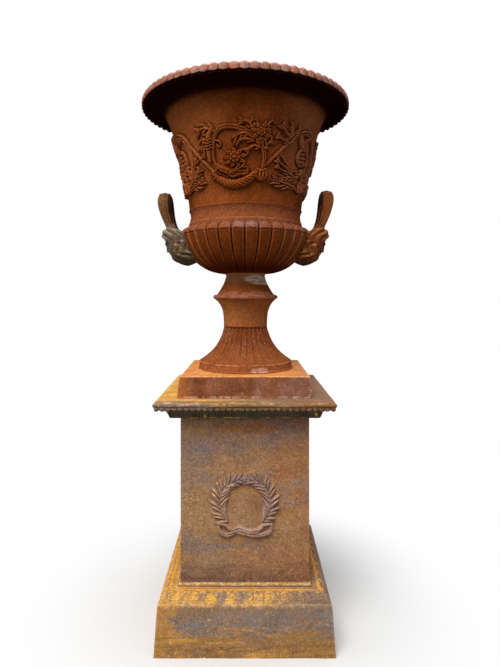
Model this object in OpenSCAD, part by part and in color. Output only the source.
// Cast-iron campana garden vase with two mask handles, on a square panelled pedestal.
// Z is up, the origin is on the ground under the middle, and the front faces -Y.

/* [Pedestal base] */
// Width of the base where it meets the ground
base_w = 531; // [500:1:560]
// Width of the base block at its top edge
base_top_w = 512; // [490:1:525]
// Height of the base block
base_h = 150; // [120:1:180]
// Height of the sloping leaf band above the block
band_h = 27; // [20:1:34]
// Width of the leaf band where it ends at its top
band_top_w = 450; // [440:1:462]
// Leaves along each side of the band
band_leaves = 10; // [6:1:12]
// Wall of the base and cap castings
ped_wall = 12; // [9:1:14]

/* [Pedestal panels] */
// Width of the square shaft
shaft_w = 392; // [370:1:400]
// Height of the panels that make the shaft
panel_h = 523; // [420:1:620]
// Plate of each panel
panel_t = 10; // [8:1:12]
// Width of each mitred flange that joins two panels inside
flange_l = 46; // [38:1:52]
// Bolts up each corner
corner_rows = 3; // [2:1:4]

/* [Wreath] */
// Radius of the wreath to the middle of its leaves
wreath_r = 80; // [70:1:90]
// Height of the wreath's middle above the ground
wreath_z = 419; // [360:1:480]
// Relief of the wreath in front of its panel
wreath_t = 15; // [10:1:18]
// Leaf pairs on each of the wreath's two branches
wreath_pairs = 10; // [8:1:14]

/* [Pedestal cap] */
// Width of the cap at its edge
cap_w = 537; // [515:1:560]
// Height of the cap
cap_h = 55; // [50:1:64]
// Width of the cap's bed mould at its foot
cap_foot_w = 448; // [436:1:462]
// Beads along each side under the edge of the cap
cap_beads = 20; // [12:1:24]

/* [Vase foot] */
// Width of the vase's square plinth where it stands on the cap
plinth_w = 411; // [395:1:425]
// Width of the plinth at its top
plinth_top_w = 395; // [380:1:405]
// Height of the plinth
plinth_h = 66; // [62:1:80]
// Radius of the ring at the foot of the socle
foot_r = 160; // [148:1:172]
// Height of that ring
foot_h = 27; // [20:1:34]
// Height of the whole socle
socle_h = 145; // [125:1:165]
// Flutes round the socle
flutes = 32; // [24:4:40]

/* [Stem] */
// Radius of the stem where it stands on the socle
stem_r = 74; // [66:1:80]
// Radius of the knop
knop_r = 110; // [98:1:118]
// Height of the stem from the socle to the bowl
stem_h = 175; // [160:1:190]
// Radius of the neck under the bowl
neck_r = 66; // [60:1:70]

/* [Bowl] */
// Radius of the bowl at the crease between the lobes and their heads
bowl_r = 219; // [211:1:226]
// Height from the neck up to that crease
crease_h = 129; // [120:1:136]
// Height of the bowl from the neck to the waist
bowl_h = 211; // [200:1:222]
// Lobes round the bowl
lobes = 32; // [24:4:36]
// Depth of the grooves between the lobes
lobe_depth = 7; // [4:0.5:9]
// Wall of the vase castings
wall = 9; // [7:0.5:11]

/* [Body and rim] */
// Radius of the waist, where the body stands on the bowl
waist_r = 190; // [184:1:196]
// Height of the body from the waist to the rim moulding
body_h = 342; // [306:1:376]
// Radius of the rim over its lobes
rim_r = 350; // [330:1:370]
// Height of the rim moulding above the body's edge
rim_h = 22; // [18:1:26]
// Lobes round the rim
rim_lobes = 74; // [58:2:86]
// Scrolls round the frieze
scrolls = 6; // [4:2:6]
// Relief of the frieze
relief = 9; // [6:0.5:12]

/* [Handles] */
// Distance between the two legs of a handle
leg_gap = 100; // [92:1:108]
// Height of the top of the handle above the crease
handle_top = 154; // [136:1:166]
// Outward lean of the handle, in degrees
handle_lean = 12; // [8:1:16]
// Width of the handle's bar
bar_w = 37; // [30:1:40]
// Thickness of the handle's bar
bar_t = 27; // [22:1:30]
// Height of a mask from its beard to its crown
mask_h = 130; // [120:1:138]
// Width of a mask
mask_w = 84; // [76:1:90]

/* [Fasteners] */
// Radius of the two tie rods
rod_r = 8; // [6:0.5:9]
// Radius of the bolts in the panels and the waist
bolt_r = 5; // [4:0.5:6]
// Clearance of a bolt or rod in its hole, on the radius
hole_gap = 0.4; // [0.2:0.1:0.8]
// Clearance between castings that fit inside or against one another
fit_gap = 0.3; // [0.2:0.1:0.8]

/* [Hidden] */
$fn = 96;

rust = "sienna";
dark_rust = "saddlebrown";
bare_iron = "dimgray";

// Heights of the joints between the castings, from the ground up
recess = 6;                            // depth of the seats that hold the panels
lip_w = 10;                            // gutter between the leaf band and the panels
band_top_z = base_h + band_h;
seat_z = band_top_z - recess;
cap_z = seat_z + panel_h - recess;
cap_top_z = cap_z + cap_h;
plinth_z = cap_top_z;
socle_z = plinth_z + plinth_h;
stem_z = socle_z + socle_h;
bowl_z = stem_z + stem_h;
crease_z = bowl_z + crease_h;
waist_z = bowl_z + bowl_h;
rim_z = waist_z + body_h;

// Nuts, washers and bolt heads
nut_af = 3.2;                          // nut width across corners, in bolt radii
nut_h_share = 1.6;                     // nut height, in bolt radii
washer_t = 4;
head_h = 6;
rod_end = 8;                           // thread standing past its nut
waist_bolts_n = 6;
waist_flange_t = 10;
waist_flange_r = 160;                  // inner radius of the flanges at the waist
waist_bolt_ring = 171;
rim_screws_n = 8;
rim_screw_r = 4;
rivet_r = 4;
rivet_head_r = 8;
rivet_head_t = 3;
handle_bolt_r = 6;
drain_r = 6;
drain_ring = 36;
drains_n = 3;

// Points along a cubic Bezier curve
function bezier(p, n) = [for (i = [0:n]) let (t = i / n, s = 1 - t)
    s * s * s * p[0] + 3 * s * s * t * p[1] + 3 * s * t * t * p[2] + t * t * t * p[3]];
// An outline moved sideways to the left of its direction
function moved(pts, d) = [for (i = [0:len(pts) - 1])
    let (a = pts[max(i - 1, 0)], b = pts[min(i + 1, len(pts) - 1)], v = (b - a) / norm(b - a))
    pts[i] + d * [-v[1], v[0]]];
function reversed(l) = [for (i = [len(l) - 1:-1:0]) l[i]];
function tail(l) = [for (i = [1:len(l) - 1]) l[i]];
// Radius of an outline of [radius, height] points at a height
function radius_at(pts, z) = lookup(z, [for (p = pts) [p[1], p[0]]]);

// A square block whose sides slope from one width to another
module frustum(w0, w1, h) {
    side = [[-w0 / 2, 0], [w0 / 2, 0], [w1 / 2, h], [-w1 / 2, h]];
    depth = max(w0, w1) + 2;
    intersection() {
        rotate([90, 0, 0]) linear_extrude(depth, center = true) polygon(side);
        rotate([90, 0, 90]) linear_extrude(depth, center = true) polygon(side);
    }
}

module box_at(w, z0, z1) translate([-w / 2, -w / 2, z0]) cube([w, w, z1 - z0]);

// A solid of revolution from its outer points, its inner points and their heights
module shell(outer, inner) rotate_extrude() polygon(concat(outer, reversed(inner)));

module hex_nut(r) {
    difference() {
        cylinder(h = nut_h_share * r, r = nut_af * r / sqrt(3), $fn = 6);
        translate([0, 0, -1]) cylinder(h = nut_h_share * r + 2, r = r + hole_gap, $fn = 48);
    }
}

module washer(r, outer_r) {
    difference() {
        cylinder(h = washer_t, r = outer_r, $fn = 64);
        translate([0, 0, -1]) cylinder(h = washer_t + 2, r = r + hole_gap, $fn = 48);
    }
}

// A round solid whose radius swells and shrinks into lobes or flutes.
// Each row is [radius, height, depth], and shape says how deep the cut is across one lobe.
module lobed_solid(rows, count, shape, phase = 0) {
    steps = len(shape);
    n = count * steps;
    m = len(rows);
    points = [for (row = rows, k = [0:n - 1])
        let (r = row[0] - row[2] * shape[k % steps], a = 360 * k / n + phase)
        [r * cos(a), r * sin(a), row[1]]];
    sides = [for (j = [0:m - 2], k = [0:n - 1])
        let (a = j * n + k, b = j * n + (k + 1) % n, c = a + n, d = b + n)
        each [[a, c, b], [b, c, d]]];
    polyhedron(points, concat([[for (k = [0:n - 1]) k]], sides,
        [[for (k = [n - 1:-1:0]) (m - 1) * n + k]]));
}

// A ring of lobes, closed on itself, from rows that go round its section
module lobed_ring(rows, count, shape) {
    steps = len(shape);
    n = count * steps;
    m = len(rows);
    points = [for (row = rows, k = [0:n - 1])
        let (r = row[0] - row[2] * shape[k % steps], a = 360 * k / n) [r * cos(a), r * sin(a), row[1]]];
    polyhedron(points, [for (j = [0:m - 1], k = [0:n - 1])
        let (a = j * n + k, b = j * n + (k + 1) % n, c = (j + 1) % m * n + k,
            d = (j + 1) % m * n + (k + 1) % n) each [[a, c, b], [b, c, d]]]);
}

// Depth across a rounded lobe, with its groove first, and across a hollow flute, with its edge first
lobe_shape = [for (s = [-1, -0.72, -0.36, 0, 0.36, 0.72]) 1 - sqrt(1 - s * s)];
flute_shape = [0, 0.8, 1, 0.8];

// Pedestal base: a battered block, a sloping band of leaves, and a cross that takes the tie rod
plate_t = 12;                          // plates that the tie rods clamp
web_w = 70;                            // width of the cross in the base
leaf_r = 34;                           // radius of one leaf's back
leaf_rise = 4;                         // how far a leaf stands above the band
module band_leaves_along_front() {
    run = (base_top_w - band_top_w) / 2;
    slope = atan2(band_h, run);
    length = norm([run, band_h]);
    pitch = band_top_w / band_leaves;
    for (i = [0:band_leaves - 1])
        translate([(i + 0.5) * pitch - band_top_w / 2, -base_top_w / 2, base_h])
            rotate([slope - 90, 0, 0])
                translate([0, leaf_r - leaf_rise, 3]) cylinder(h = length - 6, r = leaf_r - 1, $fn = 48);
}

module pedestal_base() color(rust) difference() {
    union() {
        frustum(base_w, base_top_w, base_h);
        translate([0, 0, base_h]) frustum(base_top_w, band_top_w, band_h);
        intersection() {
            for (i = [0:3]) rotate(90 * i) band_leaves_along_front();
            translate([0, 0, base_h - 1]) frustum(base_top_w, band_top_w + 12, band_h + 3);
        }
    }
    translate([0, 0, -1])
        frustum(base_w - 2 * ped_wall, base_top_w - 2 * ped_wall, base_h - ped_wall + 1);
    box_at(shaft_w + 2 * lip_w, seat_z, band_top_z + 10);
    difference() {
        box_at(shaft_w - 2 * flange_l, -1, band_top_z + 10);
        translate([-web_w / 2, -base_w / 2, seat_z - plate_t]) cube([web_w, base_w, plate_t]);
        translate([-base_w / 2, -web_w / 2, seat_z - plate_t]) cube([base_w, web_w, plate_t]);
    }
    translate([0, 0, -1]) cylinder(h = band_top_z + 2, r = rod_r + hole_gap, $fn = 64);
}

// Pedestal panels: four alike, mitred at the corners and bolted through flanges inside
foot_bead = 6;                         // bead at the foot of each panel
foot_bead_h = 9;
mitre_gap = 0.15;                      // half of the joint between two panels
bolt_in = 33;                          // bolt's distance from the corner, along one side
function corner_row_z(i) = seat_z + panel_h * (i + 0.5) / corner_rows;
function corner_bolt_at(i) = [shaft_w / 2 - bolt_in, -shaft_w / 2 + bolt_in, corner_row_z(i)];

module panel_plan() {
    h = shaft_w / 2;
    g = mitre_gap * sqrt(2);
    t = panel_t * sqrt(2);
    polygon([[-h + g, -h], [h - g, -h], [h - flange_l - g, -h + flange_l],
        [h - flange_l - t, -h + flange_l], [h - panel_t - t, -h + panel_t],
        [-h + panel_t + t, -h + panel_t], [-h + flange_l + t, -h + flange_l],
        [-h + flange_l + g, -h + flange_l]]);
}

module panel_front() color(dark_rust) difference() {
    union() {
        translate([0, 0, seat_z]) linear_extrude(panel_h) panel_plan();
        foot = shaft_w / 2 + foot_bead;
        translate([0, 0, seat_z]) linear_extrude(foot_bead_h)
            polygon([[-foot + mitre_gap, -foot], [foot - mitre_gap, -foot],
                [shaft_w / 2 - 1, -shaft_w / 2 + 1], [-shaft_w / 2 + 1, -shaft_w / 2 + 1]]);
    }
    for (i = [0:corner_rows - 1], side = [0, 1]) mirror([side, 0, 0])
        translate(corner_bolt_at(i)) rotate([90, 0, -45])
            cylinder(h = 60, r = bolt_r + hole_gap, center = true, $fn = 48);
    for (p = rivet_places()) translate([p[0], -shaft_w / 2 + panel_t / 2, p[1]])
        rotate([90, 0, 0]) cylinder(h = panel_t + 4, r = rivet_r + hole_gap, center = true, $fn = 48);
}

module corner_bolts() color(bare_iron)
    for (k = [0:3], i = [0:corner_rows - 1]) rotate(90 * k) translate(corner_bolt_at(i))
        rotate([90, 0, -45]) {
            reach = panel_t + mitre_gap;
            translate([0, 0, -reach - head_h]) cylinder(h = head_h, r = nut_af * bolt_r / sqrt(3), $fn = 6);
            translate([0, 0, -reach - 1])
                cylinder(h = 2 * reach + nut_h_share * bolt_r + 3, r = bolt_r, $fn = 48);
        }

module corner_nuts() color(bare_iron)
    for (k = [0:3], i = [0:corner_rows - 1]) rotate(90 * k) translate(corner_bolt_at(i))
        rotate([90, 0, -45]) translate([0, 0, panel_t + mitre_gap]) hex_nut(bolt_r);

// Wreath: two laurel branches that rise from a bow and meet at the top, riveted through the panel.
// Leaves lie in slanted pairs on both sides of the stalk, and stand out further at the sides.
leaf_reach = 26;                       // leaf's reach from the stalk, at the wreath's sides
leaf_reach_top = 16;                   // and at its top and foot
leaf_slant = 1.3;                      // how far a leaf leans along the branch, in leaf pitches
leaf_steps = 3;
foot_gap_a = 20;                       // half of the angle at the foot that has no leaves
function rivet_places() = [for (a = [90, 210, 330]) [wreath_r * cos(a), wreath_z + wreath_r * sin(a)]];

branch_angles = [for (i = [0:leaf_steps * wreath_pairs])
    foot_gap_a + (180 - foot_gap_a) * i / (leaf_steps * wreath_pairs)];
wreath_angles = concat([0], branch_angles, [for (i = [len(branch_angles) - 2:-1:0]) -branch_angles[i]]);
function leaf_phase(t, u) = (abs(t) - foot_gap_a) / (180 - foot_gap_a) * wreath_pairs
    - leaf_slant * abs(u);
function leaf_swell(t, u) = abs(t) < foot_gap_a ? 0.4
    : let (f = leaf_phase(t, u)) abs(sin(180 * (f + 4)));
// Each row is [place across the leaf band from -1 to 1, height as a share of the relief, leaf share]
wreath_rows = [[-1, 0, 1], [-0.94, 0.34, 1], [-0.5, 0.5, 0.34], [0, 1, 0], [0.5, 0.5, 0.34],
    [0.94, 0.34, 1], [1, 0, 1]];

module wreath_flat() {
    n = len(wreath_angles);
    m = len(wreath_rows);
    points = [for (row = wreath_rows, t = wreath_angles)
        let (swell = leaf_swell(t, row[0]), reach = leaf_reach_top
                + (leaf_reach - leaf_reach_top) * pow(sin(t), 2),
            r = wreath_r + row[0] * reach * (1 - 0.26 * row[2] * (1 - swell)),
            h = wreath_t * row[1] * (1 + 0.5 * row[2] * (swell - 0.5)) * (row[1] == 1 ? 1 : 1.05))
        [r * sin(t), -r * cos(t), h]];
    polyhedron(points, [for (j = [0:m - 1], k = [0:n - 1])
        let (a = j * n + k, b = j * n + (k + 1) % n, c = (j + 1) % m * n + k,
            d = (j + 1) % m * n + (k + 1) % n) each [[a, b, c], [b, d, c]]]);
    for (side = [0, 1]) mirror([side, 0, 0]) translate([0, -wreath_r - 14, 0]) linear_extrude(wreath_t - 4)
        polygon([[-6, -7], [8, -9], [26, -3], [46, -6], [60, 2], [54, 8], [42, 3], [27, 8], [10, 4], [-6, 8]]);
}

module wreath_front() color(rust) difference() {
    translate([0, -shaft_w / 2, wreath_z]) rotate([90, 0, 0]) wreath_flat();
    for (p = rivet_places()) translate([p[0], -shaft_w / 2 + 1, p[1]])
        rotate([90, 0, 0]) cylinder(h = 9, r = rivet_r + hole_gap, $fn = 48);
}

module wreath_rivets() color(bare_iron)
    for (k = [0:3], p = rivet_places()) rotate(90 * k)
        translate([p[0], -shaft_w / 2 + panel_t, p[1]]) rotate([90, 0, 0]) {
            translate([0, 0, -rivet_head_t]) cylinder(h = rivet_head_t, r = rivet_head_r, $fn = 48);
            translate([0, 0, -1]) cylinder(h = panel_t + 8, r = rivet_r, $fn = 48);
        }

// Pedestal cap: bed mould with upright leaves, a row of beads, and a flat slab that throws off rain
slab_h = 23;
slab_edge = 6;                         // rounding at the slab's upper edge
bead_rise = 5;
function scallop_side(w, n, rise) = [for (i = [0:n - 1], s = [0:4])
    [-w / 2 + (i + s / 5) * w / n, -w / 2 - rise * sin(36 * s)]];
function turned(p, a) = [p[0] * cos(a) - p[1] * sin(a), p[0] * sin(a) + p[1] * cos(a)];
function scallop_square(w, n, rise) =
    [for (k = [0:3], p = scallop_side(w, n, rise)) turned(p, 90 * k)];

module pedestal_cap() color(rust) difference() {
    bed_h = cap_h - slab_h;
    bead_w = cap_w - 46;
    union() {
        translate([0, 0, cap_z]) frustum(cap_foot_w, cap_foot_w + 14, bed_h * 0.55);
        translate([0, 0, cap_z + bed_h * 0.55]) frustum(cap_foot_w + 14, bead_w - 10, bed_h * 0.45);
        translate([0, 0, cap_top_z - slab_h - 9]) linear_extrude(10)
            polygon(scallop_square(bead_w - 12, cap_beads, bead_rise));
        translate([0, 0, cap_top_z - slab_h]) frustum(cap_w - 12, cap_w, slab_h - slab_edge - 6);
        translate([0, 0, cap_top_z - slab_edge - 6]) frustum(cap_w, cap_w - 4, 6);
        translate([0, 0, cap_top_z - slab_edge]) frustum(cap_w - 4, cap_w - 16, slab_edge);
    }
    box_at(shaft_w + 2 * fit_gap, cap_z - 1, cap_z + recess);
    box_at(shaft_w - 2 * panel_t, cap_z, cap_top_z - plate_t);
    cylinder(h = cap_top_z + 1, r = rod_r + hole_gap, $fn = 64);
}

// The rod through the pedestal, from under the base's cross to above the cap
ped_nut_h = nut_h_share * rod_r;
ped_rod_foot = seat_z - plate_t - washer_t - ped_nut_h - rod_end;
ped_rod_head = cap_top_z + washer_t + ped_nut_h + rod_end;
washer_r = 26;
module pedestal_tie_rod() color(bare_iron)
    translate([0, 0, ped_rod_foot]) cylinder(h = ped_rod_head - ped_rod_foot, r = rod_r, $fn = 64);

module pedestal_tie_washers() color(bare_iron)
    for (z = [seat_z - plate_t - washer_t, cap_top_z]) translate([0, 0, z]) washer(rod_r, washer_r);

module pedestal_tie_nuts() color(bare_iron)
    for (z = [seat_z - plate_t - washer_t - ped_nut_h, cap_top_z + washer_t])
        translate([0, 0, z]) hex_nut(rod_r);

// Vase plinth
plinth_plate = 9;
module vase_plinth() color(rust) difference() {
    translate([0, 0, plinth_z]) frustum(plinth_w, plinth_top_w, plinth_h);
    translate([0, 0, plinth_z - 1])
        frustum(plinth_w - 2 * ped_wall, plinth_top_w - 2 * ped_wall, plinth_h - plinth_plate + 1);
    cylinder(h = socle_z + 1, r = rod_r + hole_gap, $fn = 64);
    for (i = [0:drains_n - 1]) rotate(360 * i / drains_n + 60)
        translate([foot_r / 2, 0, 0]) cylinder(h = socle_z + 1, r = drain_r, $fn = 48);
}

// Fluted socle: a flared foot on a plain ring
ring_in = 6;                           // the ring's set-back above its foot
socle_curve = bezier([[foot_r - ring_in, socle_z + foot_h + 4], [foot_r - 32, socle_z + foot_h + 26],
    [stem_r + 12, stem_z - 68], [stem_r, stem_z]], 8);
flute_depth = 3.2;

module fluted_socle() color(rust) difference() {
    n = len(socle_curve) - 1;
    collar = stem_r + 0.6;
    union() {
        lobed_solid(concat([[foot_r - ring_in - 5, socle_z + foot_h - 2, 0]],
            [for (i = [0:n]) [socle_curve[i][0] - (i == n ? 1 : 0), socle_curve[i][1] - (i == n ? 2 : 0),
                i == 0 ? 0 : flute_depth * min(1, 0.35 + 0.9 * i / n)]]), flutes, flute_shape);
        rotate_extrude() polygon([[0, socle_z], [foot_r, socle_z], [foot_r, socle_z + 3],
            [foot_r - ring_in, socle_z + 6], [foot_r - ring_in, socle_z + foot_h],
            [foot_r - ring_in - 3, socle_z + foot_h + 5], [0, socle_z + foot_h + 5]]);
        rotate_extrude() polygon([[0, stem_z - 9], [stem_r - 7, stem_z - 9], [collar, stem_z - 4],
            [collar, stem_z], [0, stem_z]]);
    }
    rotate_extrude() polygon(concat(
        [[0, socle_z - 1], [foot_r - ring_in - wall - 3, socle_z - 1]],
        moved(socle_curve, wall + 2), [[stem_r - wall - 2, stem_z + 1], [0, stem_z + 1]]));
}

// Stem with its knop
knop_z = stem_z + 96;                  // middle of the knop's edge
knop_t = 9;
stem_low = bezier([[stem_r, stem_z], [stem_r, stem_z + 44], [stem_r + 5, knop_z - 24],
    [knop_r - 2, knop_z - knop_t / 2]], 10);
stem_high = bezier([[knop_r - 14, knop_z + knop_t + 1], [knop_r - 24, knop_z + 26],
    [neck_r + 6, bowl_z - 35], [neck_r, bowl_z - 8]], 8);
stem_outer = concat(stem_low, [[knop_r, knop_z - 2], [knop_r, knop_z + 2],
    [knop_r - 3, knop_z + knop_t / 2], [knop_r - 13, knop_z + knop_t - 1]], stem_high,
    [[neck_r + 4, bowl_z]]);
stem_wall = 11;
module stem_knop() color(rust) shell(stem_outer,
    concat([[stem_r - stem_wall, stem_z], [stem_r - stem_wall, knop_z - 20],
        [stem_r, knop_z], [neck_r - stem_wall, knop_z + 44], [neck_r - stem_wall, bowl_z]]));

// Gadrooned bowl: lobes with sharp grooves up to a crease, and a rounded head above each lobe
lobe_curve = bezier([[neck_r + 5, bowl_z], [bowl_r - 69, bowl_z + 3], [bowl_r - 14, crease_z - 68],
    [bowl_r, crease_z]], 7);
lobe_rows = [for (i = [0:7]) [lobe_curve[i][0], lobe_curve[i][1], lobe_depth * min(1, 0.12 + 0.42 * i)]];
head_rows = [[bowl_r + 1, crease_z + 7, lobe_depth], [bowl_r - 3, crease_z + 15, lobe_depth * 0.9],
    [bowl_r - 11, crease_z + 23, lobe_depth * 0.6], [bowl_r - 18, crease_z + 29, lobe_depth * 0.25],
    [bowl_r - 21, crease_z + 32, 0]];
neck_curve = bezier([[bowl_r - 23, crease_z + 33], [bowl_r - 26, crease_z + 46],
    [waist_r + 1.5, waist_z - 26], [waist_r, waist_z]], 8);
floor_t = 14;
bowl_floor_z = bowl_z + floor_t;
inner_curve = concat([[neck_r - 2, bowl_floor_z]], bezier([[neck_r + 18, bowl_floor_z + 1],
    [bowl_r - 80, bowl_floor_z + 6], [bowl_r - 34, crease_z - 66],
    [bowl_r - lobe_depth - wall, crease_z + 2]], 8));

module bowl_outer_solid() union() {
    lobed_solid(concat(lobe_rows, head_rows), lobes, lobe_shape);
    rotate_extrude() polygon(concat([[0, bowl_z + 20], [bowl_r - 22, crease_z - 4]], neck_curve,
        [[0, waist_z]]));
}

module bowl_inner_solid() rotate_extrude() polygon(concat([[0, bowl_floor_z]], inner_curve,
    [[bowl_r - lobe_depth - wall - 3, crease_z + 12]], moved(tail(neck_curve), wall + 1),
    [[waist_flange_r, waist_z - waist_flange_t], [waist_flange_r, waist_z + 1], [0, waist_z + 1]]));

module gadrooned_bowl() color(dark_rust) difference() {
    union() {
        difference() {
            bowl_outer_solid();
            bowl_inner_solid();
        }
        round_handle_bolts() translate([bolt_seat, 0, 0]) rotate([0, 90, 0]) cylinder(h = pad_h, r = pad_r);
    }
    translate([0, 0, bowl_z - 1]) cylinder(h = 60, r = rod_r + hole_gap, $fn = 64);
    for (i = [0:drains_n - 1]) rotate(360 * i / drains_n)
        translate([drain_ring, 0, bowl_z - 1]) cylinder(h = 60, r = drain_r, $fn = 48);
    waist_holes();
    round_handle_bolts() translate([bolt_seat - 1, 0, 0]) rotate([0, 90, 0])
        cylinder(h = 60, r = handle_bolt_r + hole_gap, $fn = 48);
}

// Bolts round the waist hold the body to the bowl
module round_waist() for (i = [0:waist_bolts_n - 1]) rotate(360 * i / waist_bolts_n + 30)
    translate([waist_bolt_ring, 0, waist_z]) children();

module waist_holes() round_waist()
    cylinder(h = 4 * waist_flange_t, r = bolt_r + hole_gap, center = true, $fn = 48);

module waist_bolts() color(bare_iron) round_waist() {
    translate([0, 0, -waist_flange_t - head_h])
        cylinder(h = head_h, r = nut_af * bolt_r / sqrt(3), $fn = 6);
    translate([0, 0, -waist_flange_t - 1])
        cylinder(h = 2 * waist_flange_t + nut_h_share * bolt_r + 3, r = bolt_r, $fn = 48);
}

module waist_nuts() color(bare_iron) round_waist() translate([0, 0, waist_flange_t]) hex_nut(bolt_r);

// Body: a bell that opens from the waist to the rim, with scrolls in low relief round it
lip_drop = 7;                          // thickness of the body's edge under the rim moulding
lip_r = rim_r - 14;
bell = bezier([[waist_r, waist_z], [waist_r + 9, waist_z + 90], [waist_r + 36, waist_z + 190],
    [waist_r + 59, rim_z - 77]], 10);
flare = bezier([[waist_r + 59, rim_z - 77], [waist_r + 69, rim_z - 48], [waist_r + 80, rim_z - 11],
    [waist_r + 108, rim_z - 12]], 7);
body_outer = concat(bell, tail(flare), [[lip_r, rim_z - lip_drop]]);
body_inner = [for (p = moved(tail(body_outer), wall))
    if (p[1] > waist_z + waist_flange_t && p[1] < rim_z - 5 && p[0] < lip_r - 44) p];
low_scroll = 131;                      // height above the waist of the scrolls that hang low
high_scroll = 150;                     // and of those that stand high, with the stem over them
scroll_w = 70;                         // half of a scroll's width
scroll_h = 76;                         // half of its height
frieze_r = radius_at(bell, waist_z + low_scroll);
scroll_pitch = 2 * PI * frieze_r / scrolls;
boss_r = 26;
knop_bud_r = 20;

// A bar in relief that follows the bell. Its path is in millimetres round and up the bell.
module bell_bar(a0, path, half) {
    section = [[-1, -4], [-0.6, 0.75 * relief], [0, relief], [0.6, 0.75 * relief], [1, -4]];
    m = len(section);
    n = len(path);
    points = [for (i = [0:n - 1], q = section)
        let (v = path[min(i + 1, n - 1)] - path[max(i - 1, 0)], d = v / norm(v),
            at = path[i] + half * q[0] * [-d[1], d[0]], a = a0 + 180 / PI * at[0] / frieze_r,
            r = radius_at(bell, at[1]) + q[1]) [r * cos(a), r * sin(a), at[1]]];
    sides = [for (i = [0:n - 2], j = [0:m - 1]) let (a = i * m + j, b = i * m + (j + 1) % m)
        each [[a, b, a + m], [b, b + m, a + m]]];
    polyhedron(points, concat([[for (j = [m - 1:-1:0]) j]], sides, [[for (j = [0:m - 1]) (n - 1) * m + j]]));
}

function arc(w, h, z, from, to, n) = [for (i = [0:n]) let (t = from + (to - from) * i / n)
    [w * cos(t), z + h * sin(t)]];

module on_frieze(a, z) rotate(a) translate([radius_at(bell, z), 0, z]) children();

module frieze() {
    low = waist_z + low_scroll;
    high = waist_z + high_scroll;
    for (i = [0:scrolls - 1]) {
        a = 360 * i / scrolls - 98;
        up = i % 2;                    // the stem runs under one scroll and over the next
        z = up ? high : low;
        turn = up ? 180 : 0;
        bell_bar(a, arc(scroll_w, scroll_h, z, turn - 27, turn + 207, 16), 8);
        bell_bar(a, arc(scroll_w + 6, scroll_h + 4, z, turn + 194, turn + 346, 10), up ? 9 : 13);
        on_frieze(a, z) translate([relief - boss_r, 0, 0]) sphere(boss_r, $fn = 48);
        if (!up) on_frieze(a + 180 / PI * (scroll_w + 10) / frieze_r, z - 50)
            translate([relief + 2 - knop_bud_r, 0, 0]) sphere(knop_bud_r, $fn = 48);
        bell_bar(a, up ? [[scroll_w - 6, z + 44], [scroll_pitch / 2, (low + high) / 2 + 8],
                [scroll_pitch - scroll_w - 4, low - 34]]
            : [[scroll_w + 4, z - 34], [scroll_pitch / 2, (low + high) / 2 + 8],
                [scroll_pitch - scroll_w + 6, high + 44]], 6);
    }
}

module vase_body() color(dark_rust) difference() {
    union() {
        rotate_extrude() polygon(concat([[0, waist_z]], body_outer, [[lip_r, rim_z], [0, rim_z]]));
        frieze();
    }
    rotate_extrude() polygon(concat([[0, waist_z - 1], [waist_flange_r, waist_z - 1],
        [waist_flange_r, waist_z + waist_flange_t],
        [radius_at(bell, waist_z + waist_flange_t) - wall, waist_z + waist_flange_t]], body_inner,
        [[lip_r - 38, rim_z + 1], [0, rim_z + 1]]));
    waist_holes();
    round_rim() translate([0, 0, -2 * lip_drop - 4])
        cylinder(h = 3 * lip_drop, r = rim_screw_r + hole_gap, $fn = 48);
}

// Rim moulding: a ring of rounded lobes that caps the body's edge, with a flange screwed to it
rim_lobe_depth = 5;
rim_flange_t = 7;
rim_inner_r = lip_r - 32;
rim_foot_z = rim_z - lip_drop;
rim_full_h = rim_h + lip_drop;
rim_screw_ring = rim_inner_r + 13;
rim_head_r = 7;
rim_head_t = 4;
slope = 0.3;                           // fall of the flange towards the body, for rain
rim_rows = [[lip_r + fit_gap, rim_foot_z + slope, 0],
    [rim_r - 4, rim_foot_z, rim_lobe_depth * 0.8],
    [rim_r, rim_foot_z + 0.3 * rim_full_h, rim_lobe_depth],
    [rim_r, rim_foot_z + 0.6 * rim_full_h, rim_lobe_depth],
    [rim_r - 4, rim_foot_z + 0.87 * rim_full_h, rim_lobe_depth * 0.8],
    [rim_r - 13, rim_z + rim_h, 0],
    [rim_inner_r + 29, rim_z + rim_h - 4, 0],
    [rim_inner_r + 23, rim_z + rim_flange_t - slope, 0],
    [rim_inner_r, rim_z + rim_flange_t - 2 * slope, 0],
    [rim_inner_r, rim_z + slope, 0],
    [lip_r + fit_gap, rim_z, 0]];
rim_shape = [1, 0.08, 0.08];

module round_rim() for (i = [0:rim_screws_n - 1]) rotate(360 * (i + 0.5) / rim_screws_n)
    translate([rim_screw_ring, 0, rim_z]) children();

module rim_moulding() color(rust) difference() {
    lobed_ring(rim_rows, rim_lobes, rim_shape);
    round_rim() translate([0, 0, -1]) cylinder(h = rim_h, r = rim_screw_r + hole_gap, $fn = 48);
}

module rim_screws() color(bare_iron) round_rim() {
    translate([0, 0, 1 - lip_drop]) cylinder(h = lip_drop + rim_flange_t, r = rim_screw_r, $fn = 48);
    translate([0, 0, rim_flange_t]) cylinder(h = rim_head_t, r = rim_head_r, $fn = 48);
}

// Handles: a reeded arch that stands on the crowns of two bearded masks
mask_z = crease_z - 30;                // height of the masks' middles
mask_tilt = 20;                        // how far the masks look down, in degrees
mask_out = bowl_r + 14;                // distance of the masks' middles from the vase's axis
mask_d = 60;                           // depth of a mask from front to back, without its nose
leg_z = mask_z + mask_h * 0.42;
leg_x = mask_out + 22;
arch_z = crease_z + handle_top - leg_z - leg_gap / 2 - bar_w / 2 + 5;

// The bar's section: a rounded strap with reeds along it
module bar_profile() polygon([for (i = [0:23]) let (a = 15 * i, ridge = 1 + 0.06 * cos(6 * a))
    [bar_w / 2 * ridge * cos(a), bar_t / 2 * ridge * sin(a)]]);

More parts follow.
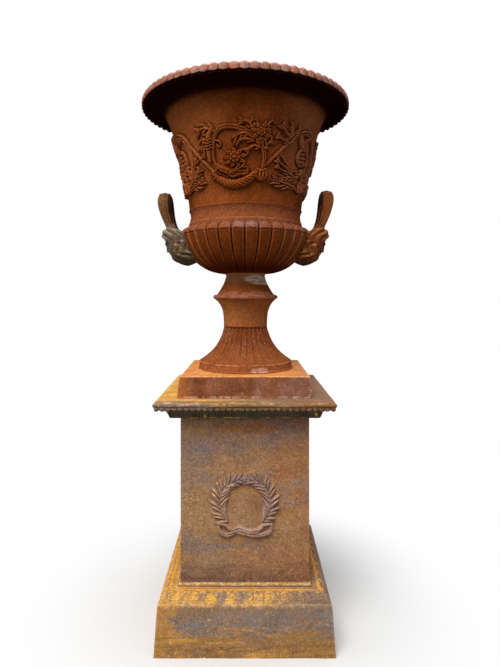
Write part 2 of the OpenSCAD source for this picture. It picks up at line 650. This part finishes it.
module handle_arch() translate([leg_x, 0, leg_z]) rotate([0, handle_lean, 0]) {
    translate([0, 0, arch_z]) rotate([90, 0, 90]) rotate_extrude(angle = 180)
        translate([leg_gap / 2, 0]) rotate(90) bar_profile();
    for (side = [-1, 1]) translate([0, side * leg_gap / 2, -26]) linear_extrude(arch_z + 26) bar_profile();
}

// A calm, bearded head: an egg with brow, nose, eyes, mouth and beard raised or sunk in it
function bump(lat, lon, at, size, h) = h * exp(-pow((lat - at[0]) / size[0], 2) - pow((lon - at[1]) / size[1], 2));
function face_rise(lat, lon) = bump(lat, lon, [-8, 0], [15, 8], 13) + bump(lat, abs(lon), [14, 18], [6, 14], 4)
    - bump(lat, abs(lon), [4, 20], [7, 9], 5) + bump(lat, abs(lon), [-12, 30], [14, 14], 3)
    - bump(lat, lon, [-31, 0], [3, 12], 3) + bump(lat, lon, [-52, 0], [20, 42], 8)
    + bump(lat, lon, [48, 0], [18, 60], 5);

module mask_head() {
    n = 24;
    m = 14;
    size = [mask_d / 2 + 6, mask_w / 2 - 3, mask_h / 2 - 5];
    points = [for (i = [1:m - 1], k = [0:n - 1])
        let (lat = -90 + 180 * i / m, lon = 360 * k / n, wrap = lon > 180 ? lon - 360 : lon,
            d = [cos(lat) * cos(lon), cos(lat) * sin(lon), sin(lat)],
            r = 1 / norm([d[0] / size[0], d[1] / size[1], d[2] / size[2]]) + face_rise(lat, wrap)) r * d];
    last = len(points);
    sides = [for (j = [0:m - 3], k = [0:n - 1])
        let (a = j * n + k, b = j * n + (k + 1) % n, c = a + n, d = b + n) each [[a, c, b], [b, c, d]]];
    caps = [for (k = [0:n - 1]) each [[last, k, (k + 1) % n],
        [last + 1, (m - 2) * n + (k + 1) % n, (m - 2) * n + k]]];
    polyhedron(concat(points, [[0, 0, -size[2] - 2], [0, 0, size[2] + 2]]), concat(sides, caps));
}

// What joins a head to the bowl behind it
module mask_back() rotate([0, -90, 0]) linear_extrude(mask_d + 22)
    polygon([for (i = [0:23]) let (a = 15 * i) [0.43 * mask_h * cos(a), 0.4 * mask_w * sin(a)]]);

module at_masks() for (side = [-1, 1]) translate([mask_out, side * leg_gap / 2, mask_z])
    rotate([0, mask_tilt, 0]) children();
module round_handle_bolts() for (half = [0, 180]) rotate(half) at_masks() children();

pad_r = 16;                            // boss inside the bowl that a bolt's washer bears on
pad_h = 21;
bolt_seat = -(mask_out - sqrt(pow(bowl_r - lobe_depth - wall, 2) - pow(leg_gap / 2, 2))) - 16;
bolt_reach = 2;                        // how far a bolt goes past a mask's middle

module handle_right() color(rust) difference() {
    union() {
        handle_arch();
        at_masks() {
            mask_head();
            mask_back();
        }
    }
    rotate_extrude() polygon(concat([[0, bowl_z - 20], [neck_r, bowl_z - 20]],
        [for (r = lobe_rows) [r[0] + fit_gap, r[1]]], [for (r = head_rows) [r[0] + fit_gap, r[1]]],
        [for (p = neck_curve) [p[0] + fit_gap, p[1]]], [[0, waist_z + 1]]));
    at_masks() translate([bolt_seat, 0, 0]) rotate([0, 90, 0])
        cylinder(h = bolt_reach + 1 - bolt_seat, r = handle_bolt_r + hole_gap, $fn = 48);
}

module handle_bolts() color(bare_iron) round_handle_bolts() {
    translate([bolt_seat - washer_t - head_h, 0, 0]) rotate([0, 90, 0])
        cylinder(h = head_h, r = nut_af * handle_bolt_r / sqrt(3), $fn = 6);
    translate([bolt_seat - washer_t - 1, 0, 0]) rotate([0, 90, 0])
        cylinder(h = bolt_reach + 1 - bolt_seat + washer_t, r = handle_bolt_r, $fn = 48);
}

module handle_washers() color(bare_iron) round_handle_bolts()
    translate([bolt_seat - washer_t, 0, 0]) rotate([0, 90, 0]) washer(handle_bolt_r, pad_r - 1);

// The rod through the vase, from under the plinth's plate to the bowl's floor
vase_rod_foot = socle_z - plinth_plate - washer_t - ped_nut_h - 4;
vase_rod_head = bowl_floor_z + washer_t + ped_nut_h + rod_end;
module vase_tie_rod() color(bare_iron)
    translate([0, 0, vase_rod_foot]) cylinder(h = vase_rod_head - vase_rod_foot, r = rod_r, $fn = 64);

module vase_tie_washers() color(bare_iron)
    for (z = [socle_z - plinth_plate - washer_t, bowl_floor_z]) translate([0, 0, z]) washer(rod_r, washer_r);

module vase_tie_nuts() color(bare_iron)
    for (z = [socle_z - plinth_plate - washer_t - ped_nut_h, bowl_floor_z + washer_t])
        translate([0, 0, z]) hex_nut(rod_r);

pedestal_base();
panel_front();
rotate(90) panel_front();  // panel_right
rotate(180) panel_front();  // panel_back
rotate(270) panel_front();  // panel_left
wreath_front();
rotate(90) wreath_front();  // wreath_right
rotate(180) wreath_front();  // wreath_back
rotate(270) wreath_front();  // wreath_left
wreath_rivets();
corner_bolts();
corner_nuts();
pedestal_cap();
pedestal_tie_rod();
pedestal_tie_washers();
pedestal_tie_nuts();
vase_plinth();
fluted_socle();
stem_knop();
gadrooned_bowl();
rotate(180) handle_right();  // handle_left
handle_right();
handle_bolts();
handle_washers();
waist_bolts();
waist_nuts();
vase_body();
rim_moulding();
rim_screws();
vase_tie_rod();
vase_tie_washers();
vase_tie_nuts();
